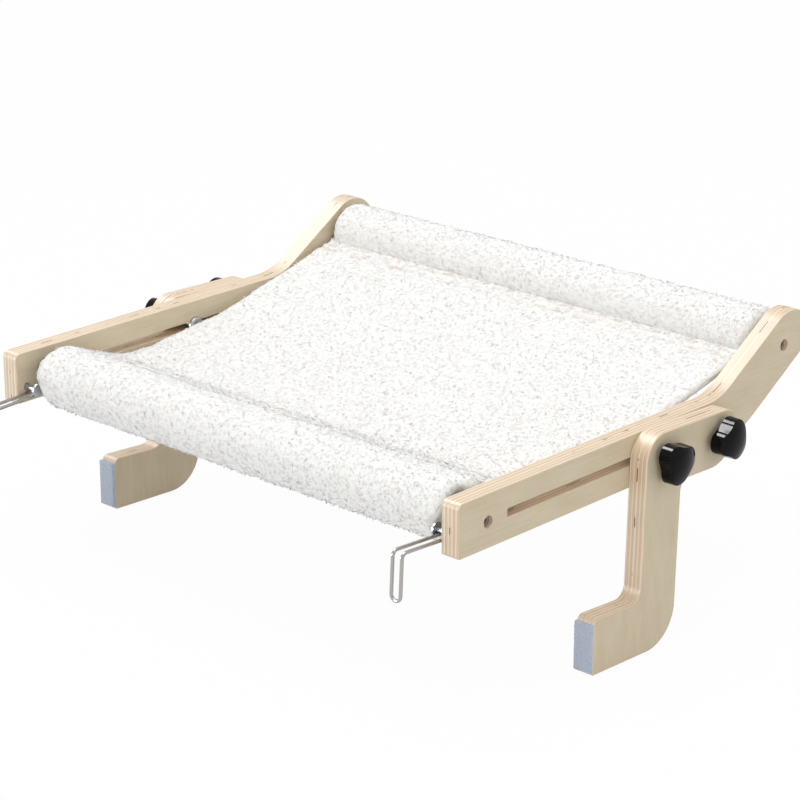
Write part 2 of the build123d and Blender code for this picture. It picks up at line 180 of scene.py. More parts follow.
@dataclass(frozen=True)
class BirchPlywood:
    """Sanded birch plywood under a thin satin lacquer.

    The veneer gives fine, pale streaks over soft clouds. On the edges each second ply shows end grain, a
    little darker and pinker than the long grain beside it. Thin brown glue lines part the plies and fade
    in places. The middle ply has a few open gaps, not cut, whose inside is painted dark as shade.
    """

    name: str
    grain: Grain
    inner_face: float
    thickness: float = 15 * MM
    plies: int = 9
    ply_spread: float = 0.35
    wander: float = 0.24
    wander_length: float = 30 * MM
    glue_share: float = 0.13
    glue_end: float = 0.234
    glue_strength: tuple[float, float] = (0.15, 0.6)
    glue_range: tuple[float, float] = (0.35, 0.65)
    veneer_pale: str = "#D8CBB1"
    veneer_deep: str = "#C5B496"
    long_grain: str = "#EBDCC1"
    end_grain: str = "#D4B99B"
    # Painted shade: the dark inside of the middle ply's open gaps, which are not cut into the edge
    glue: str = "#AD8069"
    gap: str = "#6B4630"
    gap_length: float = 16 * MM
    gap_range: tuple[float, float] = (0.56, 0.60)
    gap_depth: tuple[float, float] = (0.45, 0.60)
    face_turn: float = 0.8
    streak_width: float = 0.8 * MM
    streak_length: float = 30 * MM
    cloud_width: float = 14 * MM
    cloud_length: float = 42 * MM
    cloud_share: float = 0.7
    veneer_range: tuple[float, float] = (0.45, 1.25)

    def make(self) -> Material:
        """Builds the material.

        Returns:
            The finished material.
        """
        material, tree = new_material(self.name)
        surface = add_node(tree, "TexCoord")
        where = surface.outputs["Object"]
        facing = add_node(tree, "SeparateXYZ", links={0: surface.outputs["Normal"]})
        layer = self._layers(tree, where)
        edge = self._edge(tree, where, facing, layer)
        streaks = self._along_grain(tree, where, self.streak_width, self.streak_length, 4.0)
        veneer = self._veneer(tree, where, streaks)
        across = add_node(tree, "Math", {"operation": "ABSOLUTE"}, {0: facing.outputs["X"]})
        on_face = add_node(tree, "Math", {"operation": "GREATER_THAN", 1: self.face_turn}, {0: across})
        colour = add_node(
            tree, "Mix", {"data_type": "RGBA"},
            {SHARE: on_face, COLOUR_A: edge.outputs[MIXED], COLOUR_B: veneer.outputs[MIXED]},
        )
        relief = add_node(tree, "Bump", {"Strength": 0.12, "Distance": 0.05 * MM}, {"Height": streaks})
        shader = add_node(
            tree, "BsdfPrincipled", {"Roughness": 0.5, "Coat Weight": 0.04, "Coat Roughness": 0.4},
            {"Base Color": colour.outputs[MIXED], "Normal": relief},
        )
        finish_material(tree, shader)
        return material

    def _layers(self, tree: NodeTree, where: NodeSocket) -> Node:
        """Counts the plies through the sheet, with lines that wander a little.

        Args:
            tree: The material's node tree.
            where: The object coordinates.

        Returns:
            A node that gives nought at the inner face and the number of plies at the outer one.
        """
        place = add_node(tree, "SeparateXYZ", links={0: where})
        depth = add_node(tree, "Math", {"operation": "ABSOLUTE"}, {0: place.outputs["X"]})
        sheet = {"From Min": self.inner_face, "From Max": self.inner_face + self.thickness}
        layer = add_node(
            tree, "MapRange", {"clamp": False, **sheet, "To Max": float(self.plies)}, {0: depth}
        )
        drift = add_node(
            tree, "TexNoise", {"Scale": 1 / self.wander_length, "Detail": 2.0}, {"Vector": where}
        )
        shift = add_node(tree, "MapRange", {"To Min": -self.wander, "To Max": self.wander}, {0: drift})
        return add_node(tree, "Math", {"operation": "ADD"}, {0: layer, 1: shift})

    def _edge(self, tree: NodeTree, where: NodeSocket, facing: Node, layer: Node) -> Node:
        """Colours the plies and their glue lines, and paints shade into the middle ply's gaps.

        Args:
            tree: The material's node tree.
            where: The object coordinates.
            facing: The surface normal, taken apart.
            layer: The count of plies.

        Returns:
            The colour mix node.
        """
        index = add_node(tree, "Math", {"operation": "FLOOR"}, {0: layer})
        within = add_node(tree, "Math", {"operation": "FRACT"}, {0: layer})
        fade = add_node(
            tree, "TexNoise", {"Scale": 1 / self.gap_length, "Detail": 3.0}, {"Vector": where}
        )
        plies = self._plies(tree, facing, index)
        line = add_node(
            tree, "MapRange",
            {"From Min": self.glue_share, "From Max": self.glue_end, "To Min": 1.0, "To Max": 0.0},
            {0: within},
        )
        low, high = self.glue_range
        weak, strong = self.glue_strength
        strength = add_node(
            tree, "MapRange", {"From Min": low, "From Max": high, "To Min": weak, "To Max": strong},
            {0: fade},
        )
        drawn = add_node(tree, "Math", {"operation": "MULTIPLY"}, {0: line, 1: strength})
        glued = add_node(
            tree, "Mix", {"data_type": "RGBA", COLOUR_B: linear(self.glue)},
            {SHARE: drawn, COLOUR_A: plies.outputs[MIXED]},
        )
        # Painted shade: the middle ply's uncut gaps are darkened where their inside would lie in shade
        gap_shade = self._gap_shade(tree, index, within, fade)
        return add_node(
            tree, "Mix", {"data_type": "RGBA", COLOUR_B: linear(self.gap)},
            {SHARE: gap_shade, COLOUR_A: glued.outputs[MIXED]},
        )

    def _plies(self, tree: NodeTree, facing: Node, index: Node) -> Node:
        """Tones each ply by whether it shows end grain there, with a tone of its own.

        Args:
            tree: The material's node tree.
            facing: The surface normal, taken apart.
            index: The ply's number.

        Returns:
            The colour mix node.
        """
        second = add_node(tree, "Math", {"operation": "MODULO", 1: 2.0}, {0: index})
        first_axis, second_axis = ("XYZ"[axis] for axis in self.grain.value)
        first = add_node(tree, "Math", {"operation": "ABSOLUTE"}, {0: facing.outputs[first_axis]})
        other = add_node(tree, "Math", {"operation": "ABSOLUTE"}, {0: facing.outputs[second_axis]})
        end_on = add_node(tree, "Mix", links={SHARE: second, NUMBER_A: first, NUMBER_B: other})
        own = add_node(tree, "TexWhiteNoise", {"noise_dimensions": "1D"}, {"W": index})
        share = add_node(
            tree, "Math", {"operation": "MULTIPLY_ADD", 1: self.ply_spread},
            {0: own.outputs["Value"], 2: end_on},
        )
        toned = add_node(tree, "MapRange", {"From Max": 1 + self.ply_spread}, {0: share})
        colours = {COLOUR_A: linear(self.long_grain), COLOUR_B: linear(self.end_grain)}
        return add_node(tree, "Mix", {"data_type": "RGBA", **colours}, {SHARE: toned})

    def _gap_shade(self, tree: NodeTree, index: Node, within: Node, fade: Node) -> Node:
        """Finds where the middle ply's open gaps get their painted shade.

        Args:
            tree: The material's node tree.
            index: The ply's number.
            within: The place inside the ply.
            fade: The noise that spreads the gaps.

        Returns:
            A node that gives one in a gap.
        """
        core = add_node(
            tree, "Math", {"operation": "COMPARE", 1: float(self.plies // 2), 2: 0.5}, {0: index}
        )
        low, high = self.gap_range
        rare = add_node(tree, "MapRange", {"From Min": low, "From Max": high}, {0: fade})
        low, high = self.gap_depth
        thin = add_node(
            tree, "MapRange", {"From Min": low, "From Max": high, "To Min": 1.0, "To Max": 0.0},
            {0: within},
        )
        there = add_node(tree, "Math", {"operation": "MULTIPLY"}, {0: core, 1: rare})
        return add_node(tree, "Math", {"operation": "MULTIPLY"}, {0: there, 1: thin})

    def _veneer(self, tree: NodeTree, where: NodeSocket, streaks: Node) -> Node:
        """Colours the face veneer with its streaks and soft clouds.

        Args:
            tree: The material's node tree.
            where: The object coordinates.
            streaks: The noise along the grain.

        Returns:
            The colour mix node.
        """
        clouds = self._along_grain(tree, where, self.cloud_width, self.cloud_length, 2.0)
        both = add_node(
            tree, "Math", {"operation": "MULTIPLY_ADD", 1: self.cloud_share}, {0: clouds, 2: streaks}
        )
        low, high = self.veneer_range
        share = add_node(tree, "MapRange", {"From Min": low, "From Max": high}, {0: both})
        colours = {COLOUR_A: linear(self.veneer_deep), COLOUR_B: linear(self.veneer_pale)}
        return add_node(tree, "Mix", {"data_type": "RGBA", **colours}, {SHARE: share})

    def _along_grain(
        self, tree: NodeTree, where: NodeSocket, width: float, length: float, detail: float
    ) -> Node:
        """Draws noise that is long with the grain and narrow across it.

        Args:
            tree: The material's node tree.
            where: The object coordinates.
            width: Size of a mark across the grain.
            length: Size of a mark with the grain.
            detail: How many finer layers the noise has.

        Returns:
            The noise node.
        """
        scale = [1 / width] * 3
        scale[self.grain.value[0]] = 1 / length
        stretched = add_node(tree, "Mapping", {"Scale": scale}, {"Vector": where})
        return add_node(
            tree, "TexNoise", {"Scale": 1.0, "Detail": detail, "Roughness": 0.6}, {"Vector": stretched}
        )


@dataclass(frozen=True)
class Metal:
    """A bare or plated metal, whose surface streaks or clouds a little."""

    name: str
    colour: str
    roughness: float
    spread: float
    mark_size: tuple[float, float, float]

    def make(self) -> Material:
        """Builds the material; its marks change how rough it is, as drawing and plating do.

        Returns:
            The finished material.
        """
        material, tree = new_material(self.name)
        where = add_node(tree, "TexCoord").outputs["Object"]
        scale = [1 / size for size in self.mark_size]
        stretched = add_node(tree, "Mapping", {"Scale": scale}, {"Vector": where})
        marks = add_node(tree, "TexNoise", {"Scale": 1.0, "Detail": 3.0}, {"Vector": stretched})
        rough = add_node(
            tree, "MapRange",
            {"To Min": self.roughness - self.spread, "To Max": self.roughness + self.spread},
            {0: marks},
        )
        shader = add_node(
            tree, "BsdfPrincipled", {"Base Color": linear(self.colour), "Metallic": 1.0},
            {"Roughness": rough},
        )
        finish_material(tree, shader)
        return material


@dataclass(frozen=True)
class GlossPhenolic:
    """Compression-moulded black phenolic, which has a deep gloss and the faint ripple of its mould."""

    name: str = "moulded_black_phenolic"
    colour: str = "#070708"
    ripple: float = 6 * MM

    def make(self) -> Material:
        """Builds the material.

        Returns:
            The finished material.
        """
        material, tree = new_material(self.name)
        where = add_node(tree, "TexCoord").outputs["Object"]
        ripple = add_node(tree, "TexNoise", {"Scale": 1 / self.ripple, "Detail": 1.0}, {"Vector": where})
        relief = add_node(tree, "Bump", {"Strength": 0.04, "Distance": 0.2 * MM}, {"Height": ripple})
        shader = add_node(
            tree, "BsdfPrincipled",
            {"Base Color": linear(self.colour), "Roughness": 0.06, "Specular IOR Level": 0.13},
            {"Normal": relief},
        )
        finish_material(tree, shader)
        return material


@dataclass(frozen=True)
class WoolFelt:
    """Pressed grey-blue wool felt: matted fibres of several greys, with no thread or weave."""

    name: str = "pressed_wool_felt"
    deep: str = "#8190A8"
    pale: str = "#D6DEEC"
    fleck: float = 1.6 * MM
    fibre: float = 0.35 * MM

    def make(self) -> Material:
        """Builds the material.

        Returns:
            The finished material.
        """
        material, tree = new_material(self.name)
        where = add_node(tree, "TexCoord").outputs["Object"]
        flecks = add_node(
            tree, "TexNoise", {"Scale": 1 / self.fleck, "Detail": 5.0, "Roughness": 0.7},
            {"Vector": where},
        )
        colour = add_node(
            tree, "Mix", {"data_type": "RGBA", COLOUR_A: linear(self.deep), COLOUR_B: linear(self.pale)},
            {SHARE: flecks},
        )
        fibres = add_node(
            tree, "TexNoise", {"Scale": 1 / self.fibre, "Detail": 3.0, "Distortion": 1.5},
            {"Vector": where},
        )
        relief = add_node(tree, "Bump", {"Strength": 0.5, "Distance": 0.2 * MM}, {"Height": fibres})
        shader = add_node(
            tree, "BsdfPrincipled", {"Roughness": 0.95, "Sheen Weight": 0.25, "Sheen Roughness": 0.6},
            {"Base Color": colour.outputs[MIXED], "Normal": relief},
        )
        finish_material(tree, shader)
        return material


@dataclass(frozen=True)
class SherpaFleece:
    """Curly off-white sherpa pile: soft tips over hollows greyed by painted shade, and tan thread on the
    seam.
    """

    name: str = "sherpa_fleece"
    tip: str = "#F7F7F5"
    # Painted shade: the greyer colour of the hollows between the curls
    hollow_shade: str = "#F3F1ED"
    hollow_shade_range: tuple[float, float] = (0.34, 0.56)
    thread: str = "#E2D0C4"
    thread_range: tuple[float, float] = (0.42, 0.66)
    curl: float = 3.2 * MM
    stitches: float = 6 * MM

    def make(self) -> Material:
        """Builds the material from its own curls and the sling's seam attribute.

        Returns:
            The finished material.
        """
        material, tree = new_material(self.name)
        where = add_node(tree, "TexCoord").outputs["Object"]
        seam = add_node(tree, "Attribute", {"attribute_name": "seam"})
        curls = add_node(
            tree, "TexNoise", {"Scale": 1 / self.curl, "Detail": 3.0, "Distortion": 0.8},
            {"Vector": where},
        )
        # Painted shade: where the curl noise is low the pile turns greyer, as if shaded in its hollows; the
        # curls are only a bump
        low, high = self.hollow_shade_range
        depth = add_node(tree, "MapRange", {"From Min": low, "From Max": high}, {0: curls})
        pile = add_node(
            tree, "Mix", {"data_type": "RGBA", COLOUR_A: linear(self.hollow_shade), COLOUR_B: linear(self.tip)},
            {SHARE: depth},
        )
        breaks = add_node(
            tree, "TexNoise", {"Scale": 1 / self.stitches, "Detail": 2.0}, {"Vector": where}
        )
        low, high = self.thread_range
        runs = add_node(tree, "MapRange", {"From Min": low, "From Max": high}, {0: breaks})
        shown = add_node(tree, "Math", {"operation": "MULTIPLY"}, {0: seam.outputs["Fac"], 1: runs})
        colour = add_node(
            tree, "Mix", {"data_type": "RGBA", COLOUR_B: linear(self.thread)},
            {SHARE: shown, COLOUR_A: pile.outputs[MIXED]},
        )
        relief = add_node(tree, "Bump", {"Strength": 0.16, "Distance": 1.4 * MM}, {"Height": curls})
        shader = add_node(
            tree, "BsdfPrincipled",
            {"Roughness": 1.0, "Specular IOR Level": 0.1, "Sheen Weight": 0.1, "Sheen Roughness": 0.8},
            {"Base Color": colour.outputs[MIXED], "Normal": relief},
        )
        finish_material(tree, shader)
        return material


@dataclass
class Station:
    """One point of the sling's side outline, with the middle of the cloth beside it."""

    outer: Vector
    middle: Vector
    half_width: float
    end_round: float
    on_roll: bool


@dataclass
class Sling:
    """The fleece sling: a pocket round each crossbar and the seat that hangs between them."""

    front_radius: float = 21 * MM
    rear_radius: float = 21.5 * MM
    bore_radius: float = 10.3 * MM
    front_half_width: float = 195.5 * MM
    seat_half_width: float = 204 * MM
    rear_half_width: float = 206 * MM
    thickness: float = 7 * MM
    sag: float = 13.5 * MM
    step: float = 2.7 * MM
    end_turns: tuple[float, ...] = (90.0, 75.0, 60.0, 45.0, 30.0, 15.0)
    roll_end_round: float = 6 * MM
    end_puff: float = 7 * MM
    eye_clearance: float = 13.5 * MM
    puff_fade: float = 3 * MM
    puff_back: float = 24 * MM
    trim_start: float = 16 * MM
    trim_end: float = 44 * MM
    bolts_end: float = 276 * MM
    bend_half_width: float = 206.5 * MM
    wave_length: float = 17 * MM
    wave_height: float = 0.9 * MM
    mat_depth: float = 1.3 * MM
    lump_length: float = 5 * MM
    lump_height: float = 0.5 * MM
    seam_rows: tuple[float, float] = (0.893, 0.921)
    seam_depth: float = 1.0 * MM
    seam_width: float = 2.2 * MM
    seam_wander: float = 2.6 * MM
    seam_face: float = 0.4
    under_face: float = -0.3
    bare_tunnel: float = 1.5 * MM
    tunnel_fade: float = 5 * MM
    pile_reach: float = 3 * MM
    weld: float = 0.02 * MM
    sliver: float = 0.01 * MM
    halvings: int = 40
    cut: tuple[float, float] = (0.408, 0.53)
    # Shares of the way that lie inside a roll and outside it
    rear_search: tuple[float, float] = (0.965, 0.90)
    front_search: tuple[float, float] = (0.045, 0.09)
    # The part of the way over which the cloth's middle swings to a bore is one over this
    bore_swing: float = 14.0
    # Height over the line through the crossbars, as a share of the sag, against the share of the way
    curve: tuple[tuple[float, float], ...] = (
        (0.045, 1.20), (0.085, 0.65), (0.125, 0.18), (0.170, -0.42), (0.215, -0.84),
        (0.280, -1.07), (0.360, -1.15), (0.450, -1.18), (0.550, -1.13), (0.665, -0.80), (0.800, -0.38),
        (0.898, -0.17), (0.921, -0.125), (0.965, -0.05),
    )
    front_bar: Vector = field(init=False)
    rear_bar: Vector = field(init=False)

    def __post_init__(self) -> None:
        """Takes the crossbars' places from the frame."""
        self.front_bar = self._bar_place("front_crossbar")
        self.rear_bar = self._bar_place("rear_crossbar")

    def _bar_place(self, node: str) -> Vector:
        """Finds a crossbar's axis in the side view, as (Y, Z)."""
        low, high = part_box(node)
        middle = (low + high) / 2
        return Vector((middle.y, middle.z))

    def _from_bar(self, place: Vector) -> float:
        """Measures how far a point is from the nearer crossbar's axis."""
        side = Vector((place.y, place.z))
        return min((side - bar).length for bar in (self.front_bar, self.rear_bar))

    def _curve_height(self, share: float) -> float:
        """Reads the seat's curve smoothly between its points.

        Args:
            share: Place between the crossbars, from nought to one.

        Returns:
            Height over the line through the crossbars, in metres.
        """
        points = ((0.0, self.front_radius / self.sag), *self.curve)
        last = len(points) - 2
        spot = max(0, min(last, sum(1 for place, _ in points if place <= share) - 1))
        (left, a), (right, b) = points[spot], points[spot + 1]
        before = points[max(spot - 1, 0)]
        after = points[min(spot + 2, last + 1)]
        t = unit((share - left) / (right - left))
        slope_a = (b - before[1]) / (right - before[0]) * (right - left)
        slope_b = (after[1] - a) / (after[0] - left) * (right - left)
        square, cube = t * t, t * t * t
        height = a * (2 * cube - 3 * square + 1) + slope_a * (cube - 2 * square + t)
        height += b * (3 * square - 2 * cube) + slope_b * (cube - square)
        return height * self.sag

    def _seat_point(self, share: float, depth: float) -> Vector:
        """Finds a point of the seat.

        Args:
            share: Place between the crossbars.
            depth: How far under the seat's top.

        Returns:
            The point as (Y, Z).
        """
        line = self.front_bar.lerp(self.rear_bar, share)
        return Vector((line.x, line.y + self._curve_height(share) - depth))

    def _meets_roll(self, bar: Vector, radius: float, depth: float, shares: tuple[float, float]) -> float:
        """Finds where a seat line crosses a roll's outside.

        Args:
            bar: The crossbar inside the roll.
            radius: The roll's radius.
            depth: The line's depth under the seat's top.
            shares: A place inside the roll and one outside it.

        Returns:
            The share at the crossing.
        """
        inside, outside = shares
        for _ in range(self.halvings):
            middle = (inside + outside) / 2
            if (self._seat_point(middle, depth) - bar).length < radius:
                inside = middle
            else:
                outside = middle
        return (inside + outside) / 2

    def _half_width(self, y: float) -> float:
        """Gives the cloth's half width, which is trimmed at the front pocket and beside the bolts.

        Args:
            y: Place along the arm.

        Returns:
            The half width there.
        """
        marks = (
            (self.front_bar.x + self.trim_start, self.front_half_width),
            (self.front_bar.x + self.trim_end, self.seat_half_width),
            (self.bolts_end, self.seat_half_width),
            (self.bolts_end + self.trim_end, self.bend_half_width),
            (self.rear_bar.x, self.rear_half_width),
        )
        if y <= marks[0][0]:
            return marks[0][1]
        for (start, before), (end, after) in zip(marks, marks[1:]):
            if y <= end:
                t = (y - start) / (end - start)
                return before + (after - before) * t * t * (3 - 2 * t)
        return marks[-1][1]

    def _roll(self, bar: Vector, radius: float, start: float, end: float, joint: float) -> list[Station]:
        """Walks round a roll.

        Args:
            bar: The roll's axis.
            radius: The roll's radius.
            start: Angle of the first point, in degrees from the rear, upwards.
            end: Angle of the last point, less than the start.
            joint: Angle at which the seat leaves the pocket's bore.

        Returns:
            The stations, without the two that the seat has already.
        """
        sweep = start - end
        count = round(math.radians(sweep) * radius / self.step)
        stations = []
        for number in range(1, count):
            share = number / count
            angle = math.radians(start - sweep * share)
            inner = math.radians(joint - 360 * share)
            outer = bar + radius * Vector((math.cos(angle), math.sin(angle)))
            middle = bar + self.bore_radius * Vector((math.cos(inner), math.sin(inner)))
            stations.append(Station(outer, middle, self._half_width(outer.x), self.roll_end_round, True))
        return stations

    def outline(self) -> list[Station]:
        """Walks once round the sling's side outline: seat top, rear roll, underside, front roll.

        Returns:
            The stations in order, closing on the first.
        """
        top_rear = self._meets_roll(self.rear_bar, self.rear_radius, 0.0, self.rear_search)
        under_rear = self._meets_roll(self.rear_bar, self.rear_radius, self.thickness, self.rear_search)
        under_front = self._meets_roll(
            self.front_bar, self.front_radius, self.thickness, self.front_search
        )
        length = (self.rear_bar - self.front_bar).length * top_rear
        count = round(length / self.step)
        front_joint = self.front_bar + Vector((self.bore_radius, 0))
        rear_joint = self.rear_bar - Vector((self.bore_radius, 0))
        top, under = [], []
        for number in range(count + 1):
            share = number / count
            over = self._seat_point(top_rear * share, 0.0)
            below = self._seat_point(under_front + (under_rear - under_front) * share, self.thickness)
            middle = (over + below) / 2
            near_front = max(0.0, 1 - share * self.bore_swing)
            near_rear = max(0.0, 1 - (1 - share) * self.bore_swing)
            middle = middle.lerp(front_joint, near_front).lerp(rear_joint, near_rear)
            for place, line in ((over, top), (below, under)):
                line.append(Station(place, middle, self._half_width(place.x), self.thickness / 2, False))
        first = math.degrees(math.atan2(*reversed(top[-1].outer - self.rear_bar))) % 360
        last = math.degrees(math.atan2(*reversed(under[-1].outer - self.rear_bar))) % 360 - 360
        rear = self._roll(self.rear_bar, self.rear_radius, first, last, 180)
        first = math.degrees(math.atan2(*reversed(under[0].outer - self.front_bar)))
        front = self._roll(self.front_bar, self.front_radius, first, -270, 0)
        return [*top, *rear, *reversed(under), *front]

    def _columns(self) -> list[tuple[float, float]]:
        """Places the columns across the sling.

        Returns:
            Each column's share of the half width inside the rounded ends, from minus one to one, and its
            angle round the end in degrees, which is nought between the ends.
        """
        count = round(2 * self.seat_half_width / self.step)
        inner = [(-1 + 2 * number / count, 0.0) for number in range(count + 1)]
        left = ((-1.0, -turn) for turn in self.end_turns)
        right = ((1.0, turn) for turn in reversed(self.end_turns))
        return [*left, *inner, *right]

    def _shell(self) -> bmesh.types.BMesh:
        """Joins a ring of points at each column into one closed shell.

        Returns:
            The cloth, still smooth.
        """
        stations = self.outline()
        shell = bmesh.new()
        rings = []
        for share, turn in self._columns():
            angle = math.radians(abs(turn))
            ring = []
            for s in stations:
                flat = s.middle.lerp(s.outer, math.cos(angle))
                end = s.end_round * math.sin(angle) + self._puff(flat, angle)
                x = share * (s.half_width - s.end_round) + math.copysign(end, share)
                ring.append(shell.verts.new((x, flat.x, flat.y)))
            rings.append(ring)
        total = len(stations)
        for left, right in zip(rings, rings[1:]):
            for number in range(total):
                following = (number + 1) % total
                shell.faces.new((left[number], left[following], right[following], right[number]))
        first, last = rings[0], rings[-1]
        for number, station in enumerate(stations):
            if station.on_roll:
                following = (number + 1) % total
                shell.faces.new((first[following], first[number], last[number], last[following]))
        self._close(shell)
        return shell

    def make(self, material: Material) -> Object:
        """Builds the cloth with its pile on it.

        Args:
            material: The fleece.

        Returns:
            The finished sling, riding on the frame.
        """
        shell = self._shell()
        mesh = bpy.data.meshes.new("fleece_sling")
        shell.to_mesh(mesh)
        shell.free()
        piece = new_object("fleece_sling", mesh)
        self._ruffle(mesh)
        mesh.materials.append(material)
        mesh.polygons.foreach_set("use_smooth", [True] * len(mesh.polygons))
        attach(piece, "frame")
        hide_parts("sling")
        curls = Pile().make(self, mesh, material)
        return piece

    def _puff(self, flat: Vector, angle: float) -> float:
        """Tells how far the front roll's end puffs out, clear of the hook's wire and the bolt's head.

        Args:
            flat: The point in the side view.
            angle: Its angle round the end.

        Returns:
            The distance along the crossbar.
        """
        away = flat - self.front_bar
        clear = unit((away.length - self.eye_clearance) / self.puff_fade)
        near = unit((self.front_radius + 2 * self.puff_fade - away.length) / self.puff_fade)
        above = unit((away.y + self.puff_fade) / (2 * self.puff_fade))
        before = unit((self.puff_back - away.x) / (4 * self.puff_fade))
        return self.end_puff * math.sqrt(math.sin(angle)) * clear * near * above * before

    def _close(self, shell: bmesh.types.BMesh) -> None:
        """Welds the seat's edges, fills what gaps are left and turns the faces outwards.

        Args:
            shell: The sling's mesh.
        """
        bmesh.ops.remove_doubles(shell, verts=shell.verts, dist=self.weld)
        bmesh.ops.dissolve_degenerate(shell, edges=shell.edges, dist=self.sliver)
        rims = [edge for edge in shell.edges if edge.is_boundary]
        if rims:
            bmesh.ops.holes_fill(shell, edges=rims, sides=0)
        bmesh.ops.recalc_face_normals(shell, faces=shell.faces)

    def seam(self, place: Vector, normal: Vector) -> float:
        """Tells how near a point is to one of the seam's two wandering rows.

        Args:
            place: A point of the cloth.
            normal: The cloth's normal there.

        Returns:
            One on a row, and nought away from it.
        """
        if normal.z < self.seam_face:
            return 0.0
        wander = self.seam_wander * noise.noise(Vector((place.x / self.wave_length, 0.0, 0.0)))
        gaps = (place.y + wander - self._seat_point(share, 0.0).x for share in self.seam_rows)
        return max(math.exp(-((gap / self.seam_width) ** 2)) for gap in gaps)

    def has_pile(self, place: Vector, normal: Vector) -> bool:
        """Tells whether curls stand at a point: on the rolls and the seat's top and sides.

        Args:
            place: A point of the cloth.
            normal: The cloth's normal there.

        Returns:
            Whether the point is on the pile's side.
        """
        tunnel = self._from_bar(place)
        if tunnel < self.bore_radius + self.bare_tunnel:
            return False
        return tunnel < self.rear_radius + self.pile_reach or normal.z > self.under_face

    def _ruffle(self, mesh: Mesh) -> None:
        """Gives the cloth soft waves and small lumps, and draws in the seam's two rows.

        Args:
            mesh: The closed cloth.
        """
        seams, places = [], []
        for vertex in mesh.vertices:
            place, normal = vertex.co.copy(), vertex.normal.copy()
            grown = unit((self._from_bar(place) - self.bore_radius) / self.tunnel_fade)
            seam = self.seam(place, normal)
            lift = self.wave_height * noise.noise(place / self.wave_length)
            lift += self.mat_depth if self.has_pile(place, normal) else 0.0
            lift += self.lump_height * noise.noise(place / self.lump_length) - self.seam_depth * seam
            places.append(place + normal * lift * grown)
            seams.append(seam)
        for vertex, place in zip(mesh.vertices, places):
            vertex.co = place
        mesh.attributes.new("seam", "FLOAT", "POINT").data.foreach_set("value", seams)
        mesh.update()


@dataclass(frozen=True)
class Lock:
    """One lock of the pile: where it grows, how high it stands, and how near the seam it is."""

    place: Vector
    normal: Vector
    rise: float
    seam: float


